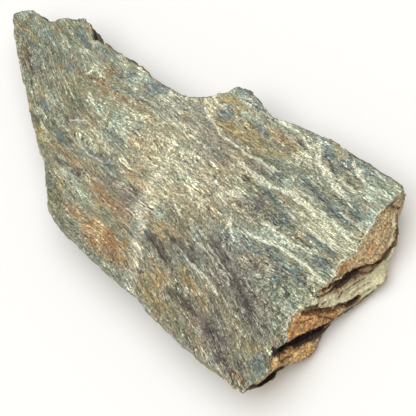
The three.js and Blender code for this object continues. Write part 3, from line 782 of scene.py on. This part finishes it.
def markZones(mesh):
    points, normals = surfaceOf(mesh)
    x, y, z = points.T
    face, foot = onFace(points, normals), onFoot(points, normals)
    wall = (1 - face) * (1 - foot)
    hollow = smoothStep(*zones["hollowTilt"], -normals[:, 2])
    hollow = hollow * (z < zones["hollowTop"]) * (x < zones["hollowEnd"])
    bare, band = zones["reliefFoot"]
    raised = wall * np.clip((z - bare) / band, 0, 1)
    end = smoothStep(*zones["endAlong"], x)
    marked = {
        "face": face,
        "riven": np.maximum(np.maximum(face, foot), hollow),
        "wall": raised,
        "end": end,
        "leafy": raised * (1 - zones["endLeaves"] * end),
        "grain": grainCoordinates(points) * mm,
        # how enclosed each wall point is, which is painted as shade
        "shelter": paintedShadeOf(mesh, points, normals, wall > zones["onWall"]),
    }
    bend = points[:, :2] * marks["waverStretch"]
    drawn = points[:, :2].copy()
    for axis, depth, length, seed in marks["wavers"]:
        drawn[:, axis] += depth * waves(bend, length, seed)
    x, y = drawn.T
    shown = face > zones["onFace"]
    for mineral, rows in patches.items():
        gaps = ((ellipseRadius(x, y, place), strength) for *place, strength in rows)
        marked[mineral] = np.where(shown, strandField(len(x), gaps), marks["unmarked"])
    atEnd = np.nonzero(points[:, 0] > zones["endMarks"])[0]
    ends = points[atEnd]
    for finish, rows in endPatches.items():
        gaps = (
            (lineDistance(ends, row) / radius, strength)
            for *row, radius, strength in rows
        )
        marked[finish] = np.full(len(x), marks["unmarked"])
        marked[finish][atEnd] = strandField(len(atEnd), gaps)
    marked["crack"] = np.full(len(x), marks["farOff"] * mm)
    marked["crack"][atEnd] = strokeGap(ends, [(half, *path) for half, _, *path in endCracks]) * mm
    marked["wash"] = washTint(x, y)
    drawn = (points[:, :2] + drawn) / 2  # the lines waver half as far
    for name, strokes in (("vein", veins), ("seam", seams)):
        marked[name] = np.where(shown, strokeGap(drawn, strokes), marks["farOff"]) * mm
    edge, most = marks["scuffEdge"]
    rubbed = edge - lineDistance(drawn, scuff[1:]) / scuff[0]
    rubbed = np.clip(rubbed, marks["unmarked"], most)
    marked["scuff"] = np.where(shown, rubbed, marks["unmarked"])
    for name, values in marked.items():
        kind, key = ("FLOAT", "value") if values.ndim == 1 else ("FLOAT_VECTOR", "vector")
        layer = mesh.attributes.new(name, kind, "POINT")
        layer.data.foreach_set(key, values.astype(np.float32).ravel())


markZones(piece.data)
print("zones and mineral patches marked")

# the fine relief of the split face and the broken edges, all in mm
relief = {
    "Step height": 0.55,  # between one cleavage sheet and the next
    "Step length": 95.0,
    "Step width": 15.0,
    "Ripple height": 0.40,
    "Ripple length": 26.0,
    "Ripple width": 3.4,
    "Leaf depth": 1.1,  # how far one cut sheet stands out from the next on the broken edges
    "Leaf length": 43.0,
    "Leaf thickness": 3.6,
    "Crumb depth": 0.75,  # sugary quartz on the broken edges
    "Crumb size": 4.0,
}
# each rise: what it follows, its three sizes, detail, roughness, height, the zone that has it,
# and, if it goes up in flat treads, how many and where between two treads the riser is
rises = {
    "sheets": ("grain", ("Step length", "Step width", "Step width"), 4, 0.6,
               "Step height", "face", 5, 0.38, 0.62),
    "ripples": ("grain", ("Ripple length", "Ripple width", "Ripple width"), 3, 0.55,
                "Ripple height", "face"),
    "leaves": ("place", ("Leaf length", "Leaf length", "Leaf thickness"), 3, 0.6,
               "Leaf depth", "leafy", 3, 0.25, 0.75),
    "crumbs": ("place", ("Crumb size", "Crumb size", "Crumb size"), 2, 0.7,
               "Crumb depth", "wall"),
}


def growRelief(piece, material):
    tree = bpy.data.node_groups.new("rivenRelief", "GeometryNodeTree")
    tree.interface.new_socket("Geometry", in_out="INPUT", socket_type="NodeSocketGeometry")
    tree.interface.new_socket("Geometry", in_out="OUTPUT", socket_type="NodeSocketGeometry")
    for name in relief:
        tree.interface.new_socket(name, in_out="INPUT", socket_type="NodeSocketFloat")
    given = addNode(tree, "NodeGroupInput").node.outputs
    follows = {
        "place": addNode(tree, "GeometryNodeInputPosition"),
        "grain": addNode(tree, "GeometryNodeInputNamedAttribute", {"Name": "grain"},
                         data_type="FLOAT_VECTOR"),
    }
    total = 0.0
    for source, sizes, detail, roughness, height, zone, *treads in rises.values():
        size = addNode(tree, "CombineXYZ", {
            axis: given[wanted] for axis, wanted in zip("XYZ", sizes)
        })
        scaled = addNode(tree, "VectorMath", {0: follows[source], 1: size}, operation="DIVIDE")
        noise = addNode(tree, "TexNoise", {
            "Vector": scaled, "Scale": 1.0, "Detail": detail, "Roughness": roughness,
        })
        count, low, high = treads or (1, 0, 1)
        level = addNode(tree, "MapRange", {
            "Value": noise, "To Min": -count, "To Max": count,
        }, clamp=False)
        if treads:
            tread = addNode(tree, "Math", {0: level}, operation="FLOOR")
            above = addNode(tree, "Math", {0: level, 1: tread}, operation="SUBTRACT")
            riser = addNode(tree, "MapRange", {
                "Value": above, "From Min": low, "From Max": high,
            }, interpolation_type="SMOOTHSTEP")
            level = addNode(tree, "Math", {0: tread, 1: riser}, operation="ADD")
        rise = addNode(tree, "Math", {0: level, 1: given[height]}, operation="MULTIPLY")
        share = addNode(tree, "GeometryNodeInputNamedAttribute", {"Name": zone})
        total = addNode(tree, "Math", {0: rise, 1: share, 2: total}, operation="MULTIPLY_ADD")
    offset = addNode(tree, "VectorMath", {
        "Vector": addNode(tree, "GeometryNodeInputNormal"), "Scale": total,
    }, operation="SCALE")
    moved = addNode(tree, "GeometryNodeSetPosition", {
        "Geometry": given["Geometry"], "Offset": offset,
    })
    whole = addNode(tree, "GeometryNodeRealizeInstances", {"Geometry": moved})
    painted = addNode(tree, "GeometryNodeSetMaterial", {"Geometry": whole, "Material": material})
    addNode(tree, "NodeGroupOutput", {"Geometry": painted})

    modifier = piece.modifiers.new("rivenRelief", "NODES")
    modifier.node_group = tree
    for item in tree.interface.items_tree:
        if item.name in relief:
            modifier[item.identifier] = relief[item.name] * mm
    piece.data = evaluated(piece)
    piece.modifiers.clear()
    low, high = (np.array(corner) for corner in cadBox)
    held = np.clip(readVectors(piece.data.vertices, "co"), low, high)
    piece.data.vertices.foreach_set("co", held.ravel())
    piece.data.update()


# what the stone's colours are built from
stone = {
    "marked": ("riven", "end", "shelter", "crack", "vein", "seam", "scuff"),
    # every colour is what the mineral shows in even light; those of the ground of the split
    # face run from one to the next between these values of the broad noise
    "base": ("8c8a75", "9f9980", "929581", "97917c"),
    "baseRange": (0.32, 0.68),
    # dark and light, by the tones further down
    "minerals": {
        "olive": ("66664f", "828168"),
        "ochre": ("857348", "b09a63"),
        "purple": ("6c6260", "8a7f78"),
        "darkBrown": ("453f3b", "625a54"),
        "blueGrey": ("566464", "788583"),
        "rust": ("866846", "ab855e"),
        "paleSage": ("97a598", "bcc8b6"),
        "cream": ("b4b093", "dcd8bb"),
    },
    "breaks": {
        "ochreGrain": ("b08050", "dcab6c"),
        "creamLeaf": ("d0cb9f", "f2ecc2"),
        # the dark earth is also painted shade, in the undercuts and under the overhanging leaves
        "earth": ("33241a", "5a412b"),
        "strawGrain": ("d9a86c", "fcd596"),
    },
    "endGround": ("b89c72", "d8bf92"),
    "edgeGround": ("6d6a58", "b3a884"),
    # single fibres: turn from the grain, spacing in mm, half width, shift, tint
    "hairs": (
        (12, 3.8, 0.024, 1.7, (0.26, 0.26, 0.24)),
        (-8, 4.6, 0.024, 4.1, (0.26, 0.26, 0.24)),
        (3, 5.4, 0.020, 5.9, (0.30, 0.30, 0.28)),
        (2, 4.4, 0.022, 9.3, (1.75, 1.78, 1.80)),
        (9, 3.6, 0.020, 6.7, (1.65, 1.67, 1.67)),
        (-9, 5.2, 0.020, 8.9, (1.70, 1.73, 1.74)),
    ),
    "hairStretch": 7,  # how many spacings long a fibre is
    # noises: what they follow, three sizes in mm, detail, roughness, turn in degrees, shift;
    # the real mica fibres are 0.1 to 0.3 mm, too fine to be seen, so they are drawn coarser
    "noises": {
        "broad": ("grain", (70, 24, 24), 3, 0.6, 0, 0),
        "warmth": ("grain", (34, 14, 14), 4, 0.65, 0, 11.3),
        "blotch": ("grain", (20, 5.5, 5.5), 5, 0.65, 0, 3.1),
        "threads": ("grain", (60, 2.4, 2.4), 3, 0.6, 3, 5.3),
        "fibres": ("grain", (7, 0.9, 0.9), 4, 0.75, 0, 0),
        "slanted": ("grain", (5, 0.8, 0.8), 4, 0.75, 16, 7.7),
        "counter": ("grain", (5.5, 0.8, 0.8), 4, 0.75, -14, 2.9),
        "grit": ("place", (1.3, 1.3, 1.3), 2, 0.7, 0, 0),
        "leaf": ("place", (45, 45, 1.8), 4, 0.65, 0, 0),
        "crumb": ("place", (2.4, 2.4, 1.9), 3, 0.75, 0, 4.4),
        "tract": ("place", (46, 46, 14), 3, 0.6, 0, 8.2),
        "layers": ("place", (40, 40, 1.3), 5, 0.7, 0, 6.1),
        "laminae": ("place", (55, 55, 2.6), 4, 0.7, 0, 9.4),
    },
    # cells: what they follow, size in mm, stretch along the grain, turn in degrees; the mica
    # flakes are drawn coarser than real ones, which are too fine to be seen
    "cells": {
        "flake": ("grain", 0.7, 2, 8),
        "glint": ("place", 1.8, 1, 0),
    },
    # weighted sums of those and of the marked zones, each noise counted from its middle value
    "sums": {
        "ragged": (("blotch", 1.5), ("threads", 1.2), ("fibres", 0.6)),
        "rough": (("tract", 1.2), ("crumb", 1.6)),
        "fine": (("fibres", 0.45), ("slanted", 0.4), ("counter", 0.3), ("grit", 0.35),
                 ("blotch", 0.2)),
        "veined": (("vein", 1), ("fibres", 0.004)),
        "seamed": (("seam", 1), ("slanted", 0.004)),
        "rubbed": (("scuff", 1), ("ragged", 1)),
        "onTop": (("riven", 1), ("ragged", 0.4)),
        # the open cracks of the end, painted near black as shade further down
        "split": (("crack", 1), ("crumb", 0.0016)),
        "silk": (("fibres", 0.6), ("slanted", 0.4)),
        "sugar": (("crumb", 1.6), ("glintEdge", -0.5)),
    },
    # shares between two values of something: the values, then the shares they give
    "shares": {
        "slantedTone": ("slanted", 0.35, 0.65, 0, 1),
        "leafTone": ("leaf", 0.38, 0.62, 0, 1),
        "layerTone": ("layers", 0.36, 0.64, 0, 1),
        "inQuartz": ("blotch", 0.45, 0.6, 0, 1),
        "inHair": ("blotch", 0.35, 0.6, 0.25, 1),
        "offCream": ("creamLeaf", -0.2, 0.6, 1, 0.3),  # the cream leaves break smooth
        "offWall": ("end", 0, 1, 0.35, 1),
        "topShare": ("onTop", 0.35, 0.65, 0, 1),
        "sheen": ("fibres", 0.3, 0.7, 0.5, 0.72),
    },
    # how the patches of the face and those of the broken end set in: from, to, how strongly
    "mineralEdge": (0, 0.75, 0.8),
    "breakEdge": (0.1, 0.5, 0.95),
    "hairCore": 0.3,  # share of a fibre's half width that is drawn in full
    # layers of the split face: by what, from and to which value, how strongly, colour or tint
    "groundLayers": (
        ("warmth", 0.5, 0.64, 0.55, "a8906c"),
        ("warmth", 0.5, 0.36, 0.55, "7b8a7e"),
    ),
    "fibreLayers": (
        ("threadsLine", 0.035, 0.012, 0.6, "d8d3b8", "inQuartz"),
        ("rubbed", 0.2, 1.1, 0.7, "c9c5b2"),
        ("fine", 0.0, -0.15, 0.9, (0.33, 0.33, 0.31)),
        ("fine", 0.0, 0.17, 0.85, (1.55, 1.56, 1.52)),
    ),
    "lineLayers": (
        ("veined", 0.0006, -0.0004, 0.8, "e4e1ca"),
        ("seamed", 0.0007, -0.0004, 0.85, (0.30, 0.31, 0.29)),
    ),
    "flakeLayers": (
        ("flake", 0.5, 0.0, 0.85, (0.34, 0.34, 0.32)),
        ("flake", 0.5, 1.0, 0.85, (1.72, 1.72, 1.70)),
    ),
    # layers of the broken end, of the other edges, and of both
    "endLayers": (("tract", 0.5, 0.62, 0.7, "a09c80"),),
    "edgeLayers": (
        ("leaf", 0.5, 0.66, 0.75, "8b917c"),
        ("tract", 0.5, 0.62, 0.6, "a98658"),
        ("laminaeLine", 0.022, 0.008, 0.75, "3f3527"),
        ("layers", 0.62, 0.72, 0.7, "d2caa9"),
    ),
    "sugarLayers": (
        ("glint", 0.35, 0.0, 0.75, (0.40, 0.33, 0.26), "offCream", "offWall"),
        ("glint", 0.72, 1.0, 0.9, (1.7, 1.7, 1.7), "offCream", "offWall"),
        ("crumb", 0.50, 0.36, 1, (0.36, 0.29, 0.22), "offCream", "offWall"),
        ("crumb", 0.56, 0.70, 1, (1.5, 1.5, 1.45), "offCream", "offWall"),
    ),
    # painted shade: the enclosed places of the edges are darkened, and the open cracks of the end
    # are painted near black
    "paintedShadeLayers": (
        ("shelter", 0.35, 0.8, 1, (0.24, 0.14, 0.095)),
        ("split", 0.0005, -0.0002, 0.95, "2e1f13"),
    ),
    "bump": 1.1,  # mm
}


def layOver(tree, values, colour, rows, tone=None):
    # a tint of three numbers multiplies; of two colours, the tone picks
    for source, low, high, share, tint, *within in rows:
        shown = addNode(tree, "MapRange", {
            "Value": values[source], "From Min": low, "From Max": high, "To Max": share,
        })
        for other in within:
            shown = addNode(tree, "Math", {0: shown, 1: values[other]}, operation="MULTIPLY")
        kind = "MIX" if isinstance(tint[0], str) else "MULTIPLY"
        if len(tint) == 2:
            tint = addNode(tree, "Mix", {
                0: values[tone], 6: linear(tint[0]), 7: linear(tint[1]),
            }, 2, data_type="RGBA")
        elif kind == "MIX":
            tint = linear(tint)
        else:
            tint = (*tint, 1)
        colour = addNode(tree, "Mix", {
            0: shown, 6: colour, 7: tint,
        }, 2, data_type="RGBA", blend_type=kind)
    return colour


def paintSchist():
    # riven quartz-mica schist: split along its cleavage, so it is silky and finely striped along
    # the grain, in grey-green mica, cream quartz and rusty stain with ragged edges
    material = bpy.data.materials.new("rivenMicaSchist")
    material.use_nodes = True
    tree = material.node_tree
    shader = tree.nodes["Principled BSDF"]
    values = {
        name: addNode(tree, "Attribute", take="Fac", attribute_name=name)
        for name in (*stone["marked"], *stone["minerals"], *stone["breaks"])
    }
    grain, wash = (
        addNode(tree, "Attribute", take="Vector", attribute_name=name)
        for name in ("grain", "wash")
    )
    follows = {"grain": grain, "place": addNode(tree, "TexCoord", take="Object")}

    noises = dict(stone["noises"])
    for i, (turn, size, _, shift, _) in enumerate(stone["hairs"]):
        sizes = (size * stone["hairStretch"], size, size)
        noises[f"hair{i}"] = ("grain", sizes, 3, 0.6, turn, shift)
    for name, (source, size, detail, roughness, turn, shift) in noises.items():
        scaled = addNode(tree, "Mapping", {
            "Vector": follows[source], "Rotation": (0, 0, math.radians(turn)),
            "Location": (shift, shift, shift), "Scale": tuple(1 / (s * mm) for s in size),
        })
        values[name] = addNode(tree, "TexNoise", {
            "Vector": scaled, "Scale": 1.0, "Detail": detail, "Roughness": roughness,
        })
        # how far the noise is from its middle value, which it crosses along thin lines
        off = addNode(tree, "Math", {0: values[name], 1: 0.5}, operation="SUBTRACT")
        values[name + "Line"] = addNode(tree, "Math", {0: off}, operation="ABSOLUTE")

    for name, (source, size, stretch, turn) in stone["cells"].items():
        slanted = addNode(tree, "Mapping", {
            "Vector": follows[source], "Scale": (1 / stretch, 1, 1),
            "Rotation": (0, 0, math.radians(turn)),
        })
        cells = addNode(tree, "TexVoronoi", {
            "Vector": slanted, "Scale": 1 / (size * mm), "Randomness": 1.0,
        }, take="Color")
        values[name] = addNode(tree, "SeparateColor", {"Color": cells})
        values[name + "Edge"] = cells.node.outputs["Distance"]

    sums = dict(stone["sums"])
    for kind, spread in (("minerals", "ragged"), ("breaks", "rough")):
        for name in stone[kind]:
            sums[name + "Edge"] = ((name, 1), (spread, 1))
    for name, parts in sums.items():
        total = -sum(weight / 2 for part, weight in parts if part in noises)
        for part, weight in parts:
            total = addNode(tree, "Math", {
                0: values[part], 1: weight, 2: total,
            }, operation="MULTIPLY_ADD")
        values[name] = total
    for name, (source, low, high, newLow, newHigh) in stone["shares"].items():
        values[name] = addNode(tree, "MapRange", {
            "Value": values[source], "From Min": low, "From Max": high,
            "To Min": newLow, "To Max": newHigh,
        })

    low, high = stone["baseRange"]
    evenly = addNode(tree, "MapRange", {
        "Value": values["broad"], "From Min": low, "From Max": high,
    })
    base = addNode(tree, "ValToRGB", {"Fac": evenly})
    stops = base.node.color_ramp.elements
    for i, colour in enumerate(stone["base"]):
        stop = stops[i] if i < 2 else stops.new(1)
        stop.position, stop.color = i / (len(stone["base"]) - 1), linear(colour)
    minerals, breaks = (
        [(name + "Edge", *stone[edge], tones) for name, tones in stone[kind].items()]
        for kind, edge in (("minerals", "mineralEdge"), ("breaks", "breakEdge"))
    )
    hairs = [
        (f"hair{i}Line", width, width * stone["hairCore"], 1, tint, "inHair")
        for i, (_, _, width, _, tint) in enumerate(stone["hairs"])
    ]
    face = layOver(tree, values, base, (
        *stone["groundLayers"], *minerals, *stone["fibreLayers"], *hairs, *stone["lineLayers"],
    ), "slantedTone")
    face = addNode(tree, "Mix", {
        0: 1.0, 6: face, 7: wash,
    }, 2, data_type="RGBA", blend_type="MULTIPLY")
    face = layOver(tree, values, face, stone["flakeLayers"])
    end, edge = (
        addNode(tree, "Mix", {
            0: values[tone], 6: linear(stone[ground][0]), 7: linear(stone[ground][1]),
        }, 2, data_type="RGBA")
        for tone, ground in (("leafTone", "endGround"), ("layerTone", "edgeGround"))
    )
    end = layOver(tree, values, end, (*stone["endLayers"], *breaks), "leafTone")
    edge = layOver(tree, values, edge, stone["edgeLayers"])
    broken = addNode(tree, "Mix", {0: values["end"], 6: edge, 7: end}, 2, data_type="RGBA")
    broken = layOver(tree, values, broken, stone["sugarLayers"])
    colour = addNode(tree, "Mix", {0: values["topShare"], 6: broken, 7: face}, 2, data_type="RGBA")
    colour = layOver(tree, values, colour, stone["paintedShadeLayers"])

    height = addNode(tree, "Mix", {0: values["topShare"], 2: values["sugar"], 3: values["silk"]})
    bump = addNode(tree, "Bump", {
        "Height": height, "Distance": stone["bump"] * mm, "Strength": 1.0,
    })
    tree.links.new(colour, shader.inputs["Base Color"])
    tree.links.new(values["sheen"], shader.inputs["Roughness"])
    tree.links.new(bump, shader.inputs["Normal"])
    return material


growRelief(piece, paintSchist())
piece.data.shade_smooth()
litByKey.objects.link(piece)
print("schist painted")

# how the slab is laid out flat for baking, on a square of this many texels
bakeSide = 1024
endLean = math.radians(40)
endView = (math.cos(endLean), 0, math.sin(endLean))
# the charts: the directions drawn rightwards and upwards, texels per mm, lower left corner
bakeCharts = {
    "upperFace": ((1, 0, 0), (0, 1, 0), 1.70, (6, 587)),
    "foot": ((1, 0, 0), (0, 1, 0), 1.05, (6, 6)),
    "end": ((0, 1, 0), (-math.sin(endLean), 0, math.cos(endLean)), 2.10, (6, 279)),
    "underEnd": ((0, 1, 0), (0, 0, 1), 1.50, (630, 6)),
    "front": ((1, 0, 0), (0, 0, 1), 1.70, (6, 501)),
    "back": ((1, 0, 0), (0, 0, 1), 1.70, (6, 415)),
    "tail": ((0, 1, 0), (0, 0, 1), 1.50, (630, 84)),
    "notch": ((0, 1, 0), (0, 0, 1), 1.80, (545, 279)),
}
# what goes to which chart: levels and places in mm, and parts of the normal
bakeEdges = {
    "topLevel": 38, "topTilt": 0.2, "endFrom": 245, "underTilt": 0.45, "underLevel": 8,
    "endSeen": 0.05, "sideways": 0.4,
}


def layFlat(mesh):
    faces = mesh.polygons
    middles, normals = readVectors(faces, "center") / mm, readVectors(faces, "normal")
    x, _, z = middles.T
    alongX, alongY, tilt = normals.T
    top = (z > bakeEdges["topLevel"]) & (tilt > bakeEdges["topTilt"]) & (beyondRim(middles) < 0)
    end = ~top & (x > bakeEdges["endFrom"])
    under = (tilt < -bakeEdges["underTilt"]) & (~end | (z < bakeEdges["underLevel"]))
    seen = normals @ np.array(endView) > bakeEdges["endSeen"]
    aside = bakeEdges["sideways"]
    chart = np.select(
        (top, under, end & seen, end, alongY < -aside, alongY > aside, alongX < 0), range(7), 7
    )
    chart = np.repeat(chart, [face.loop_total for face in faces])
    corner = [loop.vertex_index for loop in mesh.loops]
    places = readVectors(mesh.vertices, "co")[corner] / mm
    flat = np.zeros((len(places), 2))
    for i, (right, up, scale, start) in enumerate(bakeCharts.values()):
        mine = chart == i
        drawn = places[mine] @ np.array((right, up)).T
        flat[mine] = ((drawn - drawn.min(axis=0)) * scale + start) / bakeSide
    layer = mesh.uv_layers.new(name="OFBake")
    layer.data.foreach_set("uv", flat.astype(np.float32).ravel())


layFlat(piece.data)
print("laid flat for baking")

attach(piece, "root")
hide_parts("flagstone")
print("piece placed")
